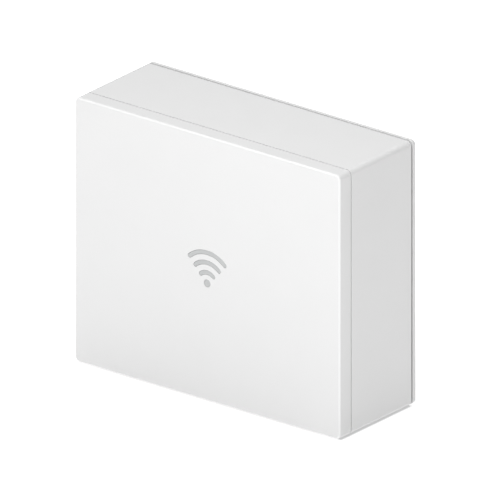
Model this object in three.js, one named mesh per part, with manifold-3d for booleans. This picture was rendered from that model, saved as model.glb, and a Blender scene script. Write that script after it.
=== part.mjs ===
// A smart home hub: a shallow white box that stands on a shelf or hangs on a wall bracket.
// Millimetres, +Z up. X is the width, the front faces -Y, and the origin is the middle of the
// footprint on the surface that the feet stand on.
import * as THREE from "three";
import { mergeVertices } from "three/addons/utils/BufferGeometryUtils.js";
import Module from "manifold-3d";

const wasm = await Module();
wasm.setup();

// ---- Driving dimensions ----

const WIDTH = 120;
const DEPTH = 44;
const HEIGHT = 101.4; // of the housing, without its feet
const FOOT_STAND = 0.6; // how far the feet lift the housing
const CORNER = 2; // corner radius of the outline, seen from the front
const EDGE = 1; // rounding of the front edge
const BACK_EDGE = 1; // rounding of the bracket's back edge
const WALL = 2.2;
const COVER_DEPTH = 6.4; // the part of the depth that the front cover makes
const BRACKET_THICK = 2;
const SEAM = 0.4; // shadow gap between two shells
const REBATE = { depth: 0.5, length: 0.6 }; // step round the housing's back edge, beside its seam
const FIT = 0.2; // sliding clearance of one shell in another
const TOUCH = 0.05; // solder or glue under a part that sits on another

// ---- Planes worked out from them ----

const FRONT = -DEPTH / 2;
const BACK = DEPTH / 2;
const BASE = FOOT_STAND;
const MID = BASE + HEIGHT / 2;
const PLATE_BACK = FRONT + WALL; // inner face of the front plate
const COVER_BACK = FRONT + COVER_DEPTH;
const HOUSING_FRONT = COVER_BACK + SEAM;
const BRACKET_FRONT = BACK - BRACKET_THICK;
const HOUSING_BACK = BRACKET_FRONT - SEAM;
const REAR_WALL = HOUSING_BACK - WALL; // inner face of the housing's rear wall

const PCB = { front: -10, back: -8.4, width: 111, height: 93, notchX: 5, notchZ: 5.3 };
const ON_FRONT = PCB.front - TOUCH; // where parts on the board's front side start
const ON_BACK = PCB.back + TOUCH; // and on its back side

const POST = { x: 45.5, z: 37, radius: 3.3, hole: 1.3 }; // from the middle of the housing
const BOSS = { x: 54.4, z: 45.1, radius: 3, hole: 1.55, end: -7.2 }; // on the front cover
const TUBE = { radius: 3.6, bore: 2.9, throughHole: 1.7, end: -7, seat: -4.8 }; // on the housing

const BAY = { half: 36, top: BASE + 36, floor: 5, wall: 2, corner: 3 }; // recess for the sockets
const PORT_Z = BASE + 19.4;
const NETWORK = { x: 8.5, width: 16, height: 13.6, sheet: 0.4 };
const USB = { x: -10.5, width: 13.1, height: 5.8, sheet: 0.4 };
const POWER = { x: 27, width: 9, height: 10, bore: 3.1, pin: 1 };
const BUTTON = { x: -26, z: BASE + 26, radius: 3.2, proud: 1.2 };
const SWITCH = { x: -26, z: BASE + 12.4, travel: 3, proud: 1.2 };

const HOOK = { x: 50, z: 22, drop: 8, neck: 4.2, thick: 3, head: 8, sheet: 1.6 };
const WALL_SCREW = { x: 42, z: [30, -8], radius: 2, headRadius: 3.9, sink: 1.5 };
const VENT = { count: 10, pitch: 6, width: 1.8, height: 10, z: MID + 37.7 };
const FLOOR_VENT = { count: 11, y: [-11, -1] };
const FOOT = { x: 47, y: [-8, 13], radius: 4.3, rim: 0.3, top: BASE + 0.8 };
const MARK = { base: MID - 5.7, stroke: 1.5, radii: [4.2, 8, 11.8], half: 42, dot: 1.35 };
const CELL = { radius: 9.2, length: 65, y: 3, z: [MID + 8.9, MID + 29] };

// ---- Parts on the board: x and z of the middle, width and height, and how far they stand off ----

const PROCESSOR = { x: -30, z: MID + 17, width: 17, height: 17, tall: 1.5 };
const MEMORY = { x: -5, z: MID + 27, width: 13, height: 9, tall: 1.1 };
const FLASH = { x: 10, z: MID + 27, width: 8, height: 6, tall: 1 };
const LED = { x: 0, z: MID, width: 3, height: 3, tall: 1 };
const TRANSFORMER = { x: NETWORK.x, z: PORT_Z + 18, width: 16, height: 9.5, tall: 5.4 };
const INDUCTOR = { x: 47, z: MID + 8, width: 10, height: 10, tall: 4.5 };
const PAD = { side: 16, thick: 0.55 };
const SINK = { side: 26, base: 1.5, fins: 8, pitch: 3.5, fin: 1.2, tall: 5.8 };
const MODULE_BOARD = 0.8; // thickness of a radio module's own board
const MAIN_RADIO = { x: 32, z: MID + 29, width: 20, height: 15 };
const MESH_RADIO = {
  board: { x: 33, z: MID + 3, width: 16, height: 22, tall: MODULE_BOARD },
  shield: { x: 33, z: MID + 5.5, width: 13, height: 14 },
};
const THIRD_RADIO = {
  board: { x: -34, z: MID - 8, width: 22, height: 16, tall: MODULE_BOARD },
  shield: { x: -36, z: MID - 8, width: 14, height: 13 },
};
const BUZZER = { x: 36, z: MID - 27, radius: 6, tall: 7.5, port: 1 };
const COIN = { x: -31, z: MID - 31, radius: 10, front: ON_FRONT - 4.2, back: ON_FRONT - 1.05 };
const CAPACITORS = [
  { x: 46, z: MID - 15, radius: 4, tall: 12 },
  { x: 46, z: MID - 5.5, radius: 4, tall: 12 },
  { x: -46, z: MID - 15, radius: 3.2, tall: 8 },
];

// ---- Materials ----

function plastic(color, roughness = 0.5) {
  return new THREE.MeshStandardMaterial({ color, roughness, metalness: 0 });
}

function metal(color, roughness = 0.35) {
  return new THREE.MeshStandardMaterial({ color, roughness, metalness: 1 });
}

const white = plastic(0xf1f1f0, 0.45);
const markGrey = plastic(0xb9bbbb, 0.4);
const black = plastic(0x1b1c1e, 0.55);
const board = plastic(0x1f5a3c, 0.4);
const rubber = plastic(0x8e9091, 0.8);
const cellBlue = plastic(0x2f6fa8, 0.35);
const steel = metal(0xc4c6c8);
const tin = metal(0xb4b6b6, 0.45);
const brass = metal(0xd9b25c, 0.3);
const aluminium = metal(0x9fa3a6, 0.5);

// ---- Solids ----

function toSolid(geometry) {
  const bare = geometry.clone();
  bare.deleteAttribute("normal");
  bare.deleteAttribute("uv");
  const merged = mergeVertices(bare);
  const vertProperties = merged.attributes.position.array;
  const triVerts = new Uint32Array(merged.index.array);
  return new wasm.Manifold(new wasm.Mesh({ numProp: 3, vertProperties, triVerts }));
}

function toGeometry(solid) {
  const { numProp, numVert, vertProperties, triVerts } = solid.getMesh();
  const positions = new Float32Array(numVert * 3);
  for (let i = 0; i < numVert; i++) {
    positions.set(vertProperties.subarray(i * numProp, i * numProp + 3), i * 3);
  }
  const geometry = new THREE.BufferGeometry();
  geometry.setAttribute("position", new THREE.BufferAttribute(positions, 3));
  geometry.setIndex(new THREE.BufferAttribute(triVerts, 1));
  geometry.computeVertexNormals();
  return geometry;
}

const join = (solids) => solids.reduce((all, one) => all.add(one));
const cut = (solid, tools) => tools.reduce((left, tool) => left.subtract(tool), solid);

// A box between two X, two Y and two Z planes.
function block([x0, x1], [y0, y1], [z0, z1]) {
  const box = new THREE.BoxGeometry(x1 - x0, y1 - y0, z1 - z0);
  return toSolid(box.translate((x0 + x1) / 2, (y0 + y1) / 2, (z0 + z1) / 2));
}

// A box of some width and height round the point x, z, between two Y planes.
function blockAt(x, z, width, height, y0, y1) {
  return block([x - width / 2, x + width / 2], [y0, y1], [z - height / 2, z + height / 2]);
}

// A box-shaped part on the board's front side, or on its back side.
function onFront({ x, z, width, height, tall }) {
  return blockAt(x, z, width, height, ON_FRONT - tall, ON_FRONT);
}

function onBack({ x, z, width, height, tall }) {
  return blockAt(x, z, width, height, ON_BACK, ON_BACK + tall);
}

// A round rod along Y, with an optional second radius at its back end.
function rod(x, z, radius, y0, y1, sides = 24, backRadius = radius) {
  const shaft = new THREE.CylinderGeometry(backRadius, radius, y1 - y0, sides);
  return toSolid(shaft.translate(x, (y0 + y1) / 2, z));
}

// A shape drawn as seen from the front, X to the right and Z up, pushed from y0 to y1.
function push(shape, y0, y1, curveSegments = 6) {
  const flat = new THREE.ExtrudeGeometry(shape, { depth: y1 - y0, bevelEnabled: false, curveSegments });
  return toSolid(flat.rotateX(Math.PI / 2).translate(0, y1, 0));
}

function roundedRect(width, height, radius, x = 0, z = MID) {
  const [w, h] = [width / 2, height / 2];
  const shape = new THREE.Shape();
  const corner = (sx, sz, start) => {
    const angle = (start * Math.PI) / 2;
    shape.absarc(x + sx * (w - radius), z + sz * (h - radius), radius, angle, angle + Math.PI / 2);
  };
  corner(1, 1, 0);
  corner(-1, 1, 1);
  corner(-1, -1, 2);
  corner(1, -1, 3);
  return shape;
}

// The hub's outline, drawn in by some inset, pushed from y0 to y1.
function outline(inset, y0, y1) {
  const radius = Math.max(CORNER - inset, 0.8);
  return push(roundedRect(WIDTH - 2 * inset, HEIGHT - 2 * inset, radius), y0, y1);
}

// The hub's outline between y0 and y1, with one end's edge rounded by radius.
function outlineRounded(radius, y0, y1, roundedEnd) {
  const inner = roundedRect(WIDTH - 2 * radius, HEIGHT - 2 * radius, CORNER - radius);
  const spare = 2 * radius;
  const bevel = { bevelThickness: radius, bevelSize: radius, bevelSegments: 4 };
  const depth = y1 - y0 + spare - 2 * radius;
  const long = new THREE.ExtrudeGeometry(inner, { depth, curveSegments: 6, ...bevel });
  const far = roundedEnd === "front" ? y1 + spare : y1;
  const whole = toSolid(long.rotateX(Math.PI / 2).translate(0, far - radius, 0));
  return whole.intersect(block([-WIDTH, WIDTH], [y0, y1], [-HEIGHT, 2 * HEIGHT]));
}

// A band along part of a circle, with round ends. Angles are in degrees.
function arcBand(x, z, radius, stroke, from, to) {
  const [a, b] = [from, to].map(THREE.MathUtils.degToRad);
  const end = (angle) => [x + radius * Math.cos(angle), z + radius * Math.sin(angle)];
  const shape = new THREE.Shape();
  shape.absarc(x, z, radius + stroke / 2, a, b);
  shape.absarc(...end(b), stroke / 2, b, b + Math.PI);
  shape.absarc(x, z, radius - stroke / 2, b, a, true);
  shape.absarc(...end(a), stroke / 2, a + Math.PI, a + 2 * Math.PI);
  return shape;
}

// The status mark: a dot under three arcs, grown all round by some clearance.
function statusMark(grow, y0, y1) {
  const [from, to] = [90 - MARK.half, 90 + MARK.half];
  const stroke = MARK.stroke + 2 * grow;
  const arcs = MARK.radii.map((r) => push(arcBand(0, MARK.base, r, stroke, from, to), y0, y1));
  return [rod(0, MARK.base, MARK.dot + grow, y0, y1, 20), ...arcs];
}

const sides = [-1, 1];
const corners = [[-1, -1], [1, -1], [-1, 1], [1, 1]];

// Numbers at an even pitch on both sides of zero.
function row(count, pitch) {
  return Array.from({ length: count }, (_, i) => (i - (count - 1) / 2) * pitch);
}

function vents(y0, y1) {
  const { count, pitch, width, height, z } = VENT;
  return row(count, pitch).map((x) => blockAt(x, z, width, height, y0, y1));
}

// ---- Shells ----

function frontCover() {
  const lip = { inset: WALL + FIT, wall: 1.4, back: HOUSING_FRONT + 2.6 };
  const ring = { inner: 10.8, outer: 12, back: PLATE_BACK + 2 };
  const skin = cut(outlineRounded(EDGE, FRONT, COVER_BACK, "front"), [
    outline(WALL, PLATE_BACK, COVER_BACK + 1),
  ]);
  const lipRing = cut(outline(lip.inset - 0.4, PLATE_BACK - 0.5, COVER_BACK), [
    outline(lip.inset + lip.wall, PLATE_BACK - 1, COVER_BACK + 1),
  ]).add(
    cut(outline(lip.inset, COVER_BACK - 1, lip.back), [
      outline(lip.inset + lip.wall, COVER_BACK - 2, lip.back + 1),
    ]),
  );
  const guideRing = cut(rod(0, MID, ring.outer, PLATE_BACK - 0.5, ring.back, 32), [
    rod(0, MID, ring.inner, PLATE_BACK - 1, ring.back + 1, 32),
  ]);
  const at = ([sx, sz]) => [sx * BOSS.x, MID + sz * BOSS.z];
  const bosses = corners.map((c) => rod(...at(c), BOSS.radius, PLATE_BACK - 0.5, BOSS.end, 20));
  const holes = corners.map((c) => rod(...at(c), BOSS.hole, COVER_BACK - 0.6, BOSS.end + 1, 16));
  const whole = join([skin, lipRing, guideRing, ...bosses]);
  const markClearance = 0.1;
  return cut(whole, [...holes, ...statusMark(markClearance, FRONT - 1, PLATE_BACK + 0.5)]);
}

function bayOutline(grow, z0) {
  const top = BAY.top + grow;
  const half = BAY.half + grow;
  const radius = BAY.corner + grow;
  const shape = new THREE.Shape();
  shape.moveTo(-half, z0);
  shape.lineTo(half, z0);
  shape.absarc(half - radius, top - radius, radius, 0, Math.PI / 2);
  shape.absarc(radius - half, top - radius, radius, Math.PI / 2, Math.PI);
  return shape;
}

// The slot that a hook of the bracket hangs in: a narrow stretch over a wide mouth.
function hookSlot(side, row) {
  const z = MID + row * HOOK.z;
  const top = z + HOOK.thick / 2 + 0.4;
  const mouthTop = z - HOOK.drop + HOOK.thick / 2 + 1.6;
  const mouthBottom = z - HOOK.drop - HOOK.thick / 2 - 0.8;
  const half = HOOK.neck / 2 + 0.4;
  const mouthHalf = HOOK.head / 2 + 0.6;
  const span = [REAR_WALL - 1, HOUSING_BACK + 1];
  const x = side * HOOK.x;
  return [
    block([x - half, x + half], span, [mouthBottom + 1, top]),
    block([x - mouthHalf, x + mouthHalf], span, [mouthBottom, mouthTop]),
  ];
}

function mainHousing() {
  const blank = join([
    outline(0, HOUSING_FRONT, HOUSING_BACK - REBATE.length),
    outline(REBATE.depth, HOUSING_FRONT + 1, HOUSING_BACK),
  ]);
  const skin = cut(blank, [outline(WALL, HOUSING_FRONT - 1, REAR_WALL)]);
  const bayShell = push(bayOutline(BAY.wall, BASE + 0.5), BAY.floor - BAY.wall, HOUSING_BACK - 1);
  const post = ([sx, sz]) => [sx * POST.x, MID + sz * POST.z];
  const boss = ([sx, sz]) => [sx * BOSS.x, MID + sz * BOSS.z];
  const posts = corners.map((c) => rod(...post(c), POST.radius, ON_BACK, REAR_WALL + 1, 20));
  const tubes = corners.map((c) => rod(...boss(c), TUBE.radius, TUBE.end, REAR_WALL + 1, 20));
  const whole = join([skin, bayShell, ...posts, ...tubes]);

  const wallCut = [BAY.floor - BAY.wall - 1, BAY.floor + 1];
  const socketHoles = [
    ...[NETWORK, USB, POWER].map((port) => {
      return blockAt(port.x, PORT_Z, port.width + 0.6, port.height + 0.6, ...wallCut);
    }),
    rod(BUTTON.x, BUTTON.z, BUTTON.radius + 0.3, ...wallCut, 24),
    blockAt(SWITCH.x, SWITCH.z, 7.2, 3.8, ...wallCut),
  ];
  const floorVents = row(FLOOR_VENT.count, VENT.pitch).map((x) => {
    const across = [x - VENT.width / 2, x + VENT.width / 2];
    return block(across, FLOOR_VENT.y, [BASE - 1, BASE + WALL + 1]);
  });
  const footPockets = feetAt.map(([x, y]) => {
    return footDisc(x, y, FOOT.radius + FIT, BASE - 1, FOOT.top + TOUCH);
  });
  return cut(whole, [
    push(bayOutline(0, BASE - 1), BAY.floor, HOUSING_BACK + 1),
    ...corners.map((c) => rod(...post(c), POST.hole, ON_BACK - 1, ON_BACK + 11, 12)),
    ...corners.map((c) => rod(...boss(c), TUBE.throughHole, TUBE.end - 1, TUBE.seat + 1, 16)),
    ...corners.map((c) => rod(...boss(c), TUBE.bore, TUBE.seat, HOUSING_BACK + 1, 20)),
    ...sides.flatMap((side) => sides.flatMap((row) => hookSlot(side, row))),
    ...vents(REAR_WALL - 1, HOUSING_BACK + 1),
    ...socketHoles,
    ...floorVents,
    ...footPockets,
  ]);
}

// The plate that screws to the wall. Its hooks hold the housing, which lifts off upwards.
function wallBracket() {
  const plate = outlineRounded(BACK_EDGE, BRACKET_FRONT, BACK, "back");
  const headBack = REAR_WALL - 0.4;
  const headFront = headBack - HOOK.sheet;
  const hooks = sides.flatMap((side) =>
    sides.flatMap((row) => {
      const [x, z] = [side * HOOK.x, MID + row * HOOK.z];
      return [
        blockAt(x, z, HOOK.neck, HOOK.thick, headFront + 0.5, BRACKET_FRONT + 0.5),
        blockAt(x, z, HOOK.head, HOOK.thick, headFront, headBack),
      ];
    }),
  );
  const { radius, headRadius, sink } = WALL_SCREW;
  const screwHoles = sides.flatMap((side) =>
    WALL_SCREW.z.flatMap((dz) => {
      const [x, z] = [side * WALL_SCREW.x, MID + dz];
      const through = rod(x, z, radius, BRACKET_FRONT - 1, BACK + 1, 20);
      const countersink = rod(x, z, headRadius, BRACKET_FRONT - 0.1, BRACKET_FRONT + sink, 20, radius);
      return [through, countersink];
    }),
  );
  return cut(join([plate, ...hooks]), [
    push(bayOutline(0, BASE - 1), BRACKET_FRONT - 1, BACK + 1),
    ...vents(BRACKET_FRONT - 1, BACK + 1),
    ...screwHoles,
  ]);
}

// ---- Feet ----

const feetAt = sides.flatMap((side) => FOOT.y.map((y) => [side * FOOT.x, y]));

function footDisc(x, y, radius, z0, z1, lowRadius = radius) {
  const disc = new THREE.CylinderGeometry(radius, lowRadius, z1 - z0, 24);
  return toSolid(disc.rotateX(Math.PI / 2).translate(x, y, (z0 + z1) / 2));
}

function foot([x, y]) {
  const { radius, rim, top } = FOOT;
  return footDisc(x, y, radius, rim, top).add(footDisc(x, y, radius, 0, rim, radius - rim));
}

// ---- Status light ----

// The translucent mark, its disc behind the front plate, and the funnel down to the light.
function lightGuide() {
  const disc = { radius: 10.5, front: PLATE_BACK + 0.1, back: PLATE_BACK + 1.6 };
  const narrow = { radius: 2.6, back: PCB.front - 1.3 };
  return join([
    rod(0, MID, disc.radius, disc.front, disc.back, 32),
    rod(0, MID, disc.radius - 1, disc.back - 0.2, narrow.back, 24, narrow.radius),
    ...statusMark(0, FRONT + 0.05, disc.front + 0.5),
  ]);
}

// ---- Circuit board and what it carries ----

function mainBoard() {
  const plate = blockAt(0, MID, PCB.width, PCB.height, PCB.front, PCB.back);
  const notches = corners.map(([sx, sz]) => {
    const [x, z] = [(sx * PCB.width) / 2, MID + (sz * PCB.height) / 2];
    return blockAt(x, z, 2 * PCB.notchX, 2 * PCB.notchZ, PCB.front - 1, PCB.back + 1);
  });
  const holes = corners.map(([sx, sz]) =>
    rod(sx * POST.x, MID + sz * POST.z, 1.7, PCB.front - 1, PCB.back + 1, 16),
  );
  return cut(plate, [...notches, ...holes]);
}

// A screw along Y with a cross in its head. The head is on the side that "headSide" says.
function screw(x, z, { headRadius, headHeight, shank, length }, seat, headSide) {
  const along = (a, b) => (headSide < 0 ? [seat - b, seat - a] : [seat + a, seat + b]);
  const head = rod(x, z, headRadius, ...along(0, headHeight), 18);
  const stem = rod(x, z, shank, ...along(-length, 0.5), 12);
  const arm = 0.8 * headRadius;
  const recess = along(headHeight * 0.45, headHeight + 1);
  return cut(head.add(stem), [
    blockAt(x, z, 2 * arm, 0.35 * headRadius, ...recess),
    blockAt(x, z, 0.35 * headRadius, 2 * arm, ...recess),
  ]);
}

const boardScrew = { headRadius: 2.6, headHeight: 1.7, shank: 1.15, length: 8 };
const coverScrew = { headRadius: 2.5, headHeight: 2, shank: 1.4, length: 10.5 };

// A pressed metal lid over a radio, with a slightly raised top.
function radioShield({ x, z, width, height }, seat) {
  const [tall, raised, shoulder] = [2.4, 0.3, 0.8];
  const can = blockAt(x, z, width, height, seat - tall, seat);
  const top = [width - 2 * shoulder, height - 2 * shoulder];
  return can.add(blockAt(x, z, ...top, seat - tall - raised, seat - 1));
}

// The soft pad between the processor and its heat sink.
function thermalPad() {
  const back = ON_FRONT - PROCESSOR.tall - TOUCH;
  return blockAt(PROCESSOR.x, PROCESSOR.z, PAD.side, PAD.side, back - PAD.thick, back);
}

function heatSink() {
  const { x, z } = PROCESSOR;
  const back = ON_FRONT - PROCESSOR.tall - PAD.thick - 2 * TOUCH;
  const base = blockAt(x, z, SINK.side, SINK.side, back - SINK.base, back);
  const fins = row(SINK.fins, SINK.pitch).map((dx) => {
    return blockAt(x + dx, z, SINK.fin, SINK.side, back - SINK.tall, back - 1);
  });
  return join([base, ...fins]);
}

// A can capacitor: the sleeve turns in under its rim, and the top is slightly dished.
function capacitor({ x, z, radius, tall }) {
  const dish = tall - 0.15;
  const profile = [
    [0, 0], [radius, 0], [radius, 1], [radius - 0.35, 1.3], [radius, 1.6],
    [radius, tall - 0.4], [radius - 0.4, tall], [radius - 1, dish], [0, dish],
  ];
  const points = profile.map(([r, y]) => new THREE.Vector2(r, y));
  const can = new THREE.LatheGeometry(points, 20);
  return toSolid(can.translate(x, ON_BACK, z));
}

function buzzer() {
  const { x, z, radius, tall, port } = BUZZER;
  const can = rod(x, z, radius, ON_FRONT - tall, ON_FRONT, 24);
  return cut(can, [rod(x, z, port, ON_FRONT - tall - 1, ON_FRONT - tall / 2, 12)]);
}

function coinCellHolder() {
  const { x, z, radius } = COIN;
  const outer = radius + 1.4;
  const body = rod(x, z, outer, ON_FRONT - 4.6, ON_FRONT, 28);
  const well = rod(x, z, radius + 0.3, ON_FRONT - 6, ON_FRONT - 1, 28);
  const mouth = block([x - outer - 1, x + outer + 1], [ON_FRONT - 5, ON_FRONT - 3.2], [z - 12, z - 6]);
  return cut(body, [well, mouth]);
}

// ---- Sockets, button and switch in the bay ----

// The open metal sleeve round a socket.
function socketSleeve({ x, width, height, sheet }, mouth) {
  const outer = blockAt(x, PORT_Z, width, height, ON_BACK, mouth);
  const inside = [width - 2 * sheet, height - 2 * sheet];
  return cut(outer, [blockAt(x, PORT_Z, ...inside, ON_BACK - 1, mouth + 1)]);
}

// The network socket's cavity is a wide slot for the plug over two narrower ones for its latch.
function networkBody() {
  const inside = 2 * (NETWORK.sheet + TOUCH);
  const [width, height] = [NETWORK.width - inside, NETWORK.height - inside];
  const body = blockAt(NETWORK.x, PORT_Z, width, height, ON_BACK, BAY.floor - 0.2);
  const cavity = (wide, z0, z1) => {
    const across = [NETWORK.x - wide / 2, NETWORK.x + wide / 2];
    return block(across, [-5, BAY.floor + 1], [PORT_Z + z0, PORT_Z + z1]);
  };
  return cut(body, [cavity(11.8, -3.8, 3.4), cavity(6.2, -5, -3), cavity(3.4, -5.8, -4)]);
}

function networkContacts() {
  const wire = { count: 8, pitch: 1.1, thick: 0.4, front: -4.4, back: 2.5 };
  const bar = blockAt(NETWORK.x, PORT_Z + 2.6, 9.4, 1, -4.95, -4.2);
  const wires = row(wire.count, wire.pitch).map((dx) => {
    return blockAt(NETWORK.x + dx, PORT_Z + 2.4, wire.thick, wire.thick, wire.front, wire.back);
  });
  return join([bar, ...wires]);
}

function usbTongue() {
  const base = blockAt(USB.x, PORT_Z, 12.2, 4.9, ON_BACK, -5.5);
  return base.add(blockAt(USB.x, PORT_Z + 1.2, 11, 1.8, -6, BAY.floor - 0.6));
}

function powerSocket() {
  const body = blockAt(POWER.x, PORT_Z, POWER.width, POWER.height, ON_BACK, BAY.floor);
  return cut(body, [rod(POWER.x, PORT_Z, POWER.bore, -5, BAY.floor + 1, 24)]);
}

function powerPin() {
  const shoulder = 3;
  const tip = rod(POWER.x, PORT_Z, POWER.pin, shoulder, shoulder + 0.6, 12, 0.6 * POWER.pin);
  return rod(POWER.x, PORT_Z, POWER.pin, -4.95, shoulder, 12).add(tip);
}

// The tact switch under the button: its body, and the stem that the button pushes.
function tactBody() {
  const body = blockAt(BUTTON.x, BUTTON.z, 6.2, 6.2, ON_BACK, -4.9);
  return cut(body, [rod(BUTTON.x, BUTTON.z, 1.95, -7, -4, 16)]);
}

function tactStem() {
  return rod(BUTTON.x, BUTTON.z, 1.75, -6.2, -3.4, 16);
}

function pairButton() {
  const face = BAY.floor + BUTTON.proud;
  const wallInner = BAY.floor - BAY.wall;
  const cap = rod(BUTTON.x, BUTTON.z, BUTTON.radius, wallInner - 0.6, face - 0.4, 24);
  const crown = rod(BUTTON.x, BUTTON.z, BUTTON.radius, face - 0.4, face, 24, BUTTON.radius - 0.4);
  const flange = rod(BUTTON.x, BUTTON.z, BUTTON.radius + 1, wallInner - 1.4, wallInner - 0.1, 24);
  const leg = rod(BUTTON.x, BUTTON.z, 1.6, -3.35, wallInner - 1, 16);
  return join([cap, crown, flange, leg]);
}

function switchBody() {
  const body = blockAt(SWITCH.x, SWITCH.z, 13, 6.6, ON_BACK, 2.6);
  return cut(body, [blockAt(SWITCH.x, SWITCH.z, 9.8, 4.4, -1.6, 4)]);
}

function switchKnob() {
  const x = SWITCH.x - SWITCH.travel / 2; // off, at the left end of its slot
  const face = BAY.floor + SWITCH.proud;
  const grooves = row(3, 0.9).map((dx) => blockAt(x + dx, SWITCH.z, 0.3, 4, face - 0.3, face + 1));
  const slider = blockAt(x, SWITCH.z, 4.6, 4, -1.4, 0.8);
  const handle = blockAt(x, SWITCH.z, 3.2, 3, 0.3, face);
  return cut(slider.add(handle), grooves);
}

// ---- Backup battery ----

function batteryCradle() {
  const wall = 1.5;
  const [low, high] = [CELL.z[0] - CELL.radius - 0.5 - wall, CELL.z[1] + CELL.radius + 0.5 + wall];
  const half = 38.5;
  const floor = ON_BACK + wall;
  const between = (CELL.z[0] + CELL.z[1]) / 2;
  return join([
    block([-half, half], [ON_BACK, floor], [low, high]),
    block([-half, half], [ON_BACK, CELL.y], [low, low + wall]),
    block([-half, half], [ON_BACK, CELL.y], [high - wall, high]),
    block([-half, half], [ON_BACK, CELL.y - 1], [between - 0.4, between + 0.4]),
    block([-half, wall - half], [ON_BACK, CELL.y + 5], [low, high]),
    block([half - wall, half], [ON_BACK, CELL.y + 5], [low, high]),
  ]);
}

// A round cell along X. Its button end is on the side that "end" says.
function cell(z, end) {
  const [radius, half] = [CELL.radius, CELL.length / 2];
  const profile = [
    [0, -half], [radius - 0.6, -half], [radius, 0.6 - half], [radius, half - 4.4], [radius - 0.4, half - 4],
    [radius - 0.4, half - 3.4], [radius, half - 3], [radius, half - 1.2], [radius - 0.7, half - 0.7],
    [2.8, half - 0.7], [2.8, half], [0, half],
  ];
  const points = profile.map(([r, y]) => new THREE.Vector2(r, y));
  const turned = new THREE.LatheGeometry(points, 24).rotateZ((-end * Math.PI) / 2);
  return toSolid(turned.translate(0, CELL.y, z));
}

// A leaf of spring steel, bent like a U between the cradle's end wall and a cell.
function batteryContact(z, end) {
  const wall = 36.9;
  const leaf = 0.4;
  const tip = 33;
  const shape = new THREE.Shape();
  const outlinePoints = [
    [wall, -1], [wall, 6], [wall - 1.2, 7], [tip + leaf, 5], [tip, 3.4], [tip + 0.2, 0.5],
    [tip + 0.2 + leaf, 0.5], [tip + leaf, 3.3], [tip + 2 * leaf, 4.7], [wall - 1.2, 6.5],
    [wall - leaf, 5.8], [wall - leaf, -1],
  ];
  outlinePoints.forEach(([x, y], i) => (i ? shape.lineTo(x, y) : shape.moveTo(x, y)));
  const leafSolid = new THREE.ExtrudeGeometry(shape, { depth: 8, bevelEnabled: false });
  const turned = end > 0 ? leafSolid : leafSolid.rotateY(Math.PI).translate(0, 0, 8);
  return toSolid(turned.translate(0, 0, z - 4));
}

// ---- Antennas ----

function antennaBoard(side) {
  const inner = side * (WIDTH / 2 - WALL - 0.4);
  const outer = inner - side * 0.8;
  return block([inner, outer].sort((a, b) => a - b), [-12, 4], [MID - 11, MID + 29]);
}

// The thin coaxial lead from an antenna to its radio, in front of the board.
function antennaLead(points) {
  const path = new THREE.CatmullRomCurve3(points.map((p) => new THREE.Vector3(...p)));
  const round = new THREE.Shape().absarc(0, 0, 0.5, 0, 2 * Math.PI);
  const options = { extrudePath: path, steps: 18, curveSegments: 4, bevelEnabled: false };
  return toSolid(new THREE.ExtrudeGeometry(round, options));
}

// ---- The hub ----

const hub = new THREE.Group();

function add(name, solid, material) {
  const mesh = new THREE.Mesh(toGeometry(solid), material);
  mesh.name = name;
  hub.add(mesh);
}

add("front_cover", frontCover(), white);
add("main_housing", mainHousing(), white);
add("wall_bracket", wallBracket(), white);
feetAt.forEach((at, i) => add(`foot_${i + 1}`, foot(at), rubber));

add("status_light_guide", lightGuide(), markGrey);
add("status_led", onFront(LED), white);
add("main_board", mainBoard(), board);
corners.forEach(([sx, sz], i) => {
  const [x, z] = [sx * POST.x, MID + sz * POST.z];
  add(`board_screw_${i + 1}`, screw(x, z, boardScrew, ON_FRONT, -1), steel);
  const [bossX, bossZ] = [sx * BOSS.x, MID + sz * BOSS.z];
  add(`cover_screw_${i + 1}`, screw(bossX, bossZ, coverScrew, TUBE.seat + TOUCH, 1), steel);
});

add("processor", onFront(PROCESSOR), black);
add("thermal_pad", thermalPad(), rubber);
add("heat_sink", heatSink(), aluminium);
add("memory_chip", onFront(MEMORY), black);
add("flash_chip", onFront(FLASH), black);
add("main_radio_shield", radioShield(MAIN_RADIO, ON_FRONT), tin);
add("mesh_radio_board", onFront(MESH_RADIO.board), board);
add("mesh_radio_shield", radioShield(MESH_RADIO.shield, ON_FRONT - MODULE_BOARD - TOUCH), tin);
add("radio_board", onFront(THIRD_RADIO.board), board);
add("radio_shield", radioShield(THIRD_RADIO.shield, ON_FRONT - MODULE_BOARD - TOUCH), tin);
add("buzzer", buzzer(), black);
add("coin_cell_holder", coinCellHolder(), black);
add("coin_cell", rod(COIN.x, COIN.z, COIN.radius, COIN.front, COIN.back, 28), steel);

add("network_socket_shield", socketSleeve(NETWORK, BAY.floor), tin);
add("network_socket_body", networkBody(), black);
add("network_socket_contacts", networkContacts(), brass);
add("usb_socket_shell", socketSleeve(USB, BAY.floor + 0.5), tin);
add("usb_socket_tongue", usbTongue(), black);
add("power_socket", powerSocket(), black);
add("power_socket_pin", powerPin(), steel);
add("pair_switch", tactBody(), black);
add("pair_switch_stem", tactStem(), black);
add("pair_button", pairButton(), markGrey);
add("power_switch", switchBody(), tin);
add("power_switch_knob", switchKnob(), black);

add("network_transformer", onBack(TRANSFORMER), black);
CAPACITORS.forEach((size, i) => add(`capacitor_${i + 1}`, capacitor(size), black));
add("power_inductor", onBack(INDUCTOR), black);

add("battery_cradle", batteryCradle(), black);
CELL.z.forEach((z, i) => {
  const end = i ? -1 : 1;
  add(`battery_cell_${i + 1}`, cell(z, end), cellBlue);
  add(`battery_contact_${2 * i + 1}`, batteryContact(z, -1), steel);
  add(`battery_contact_${2 * i + 2}`, batteryContact(z, 1), steel);
});

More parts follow.
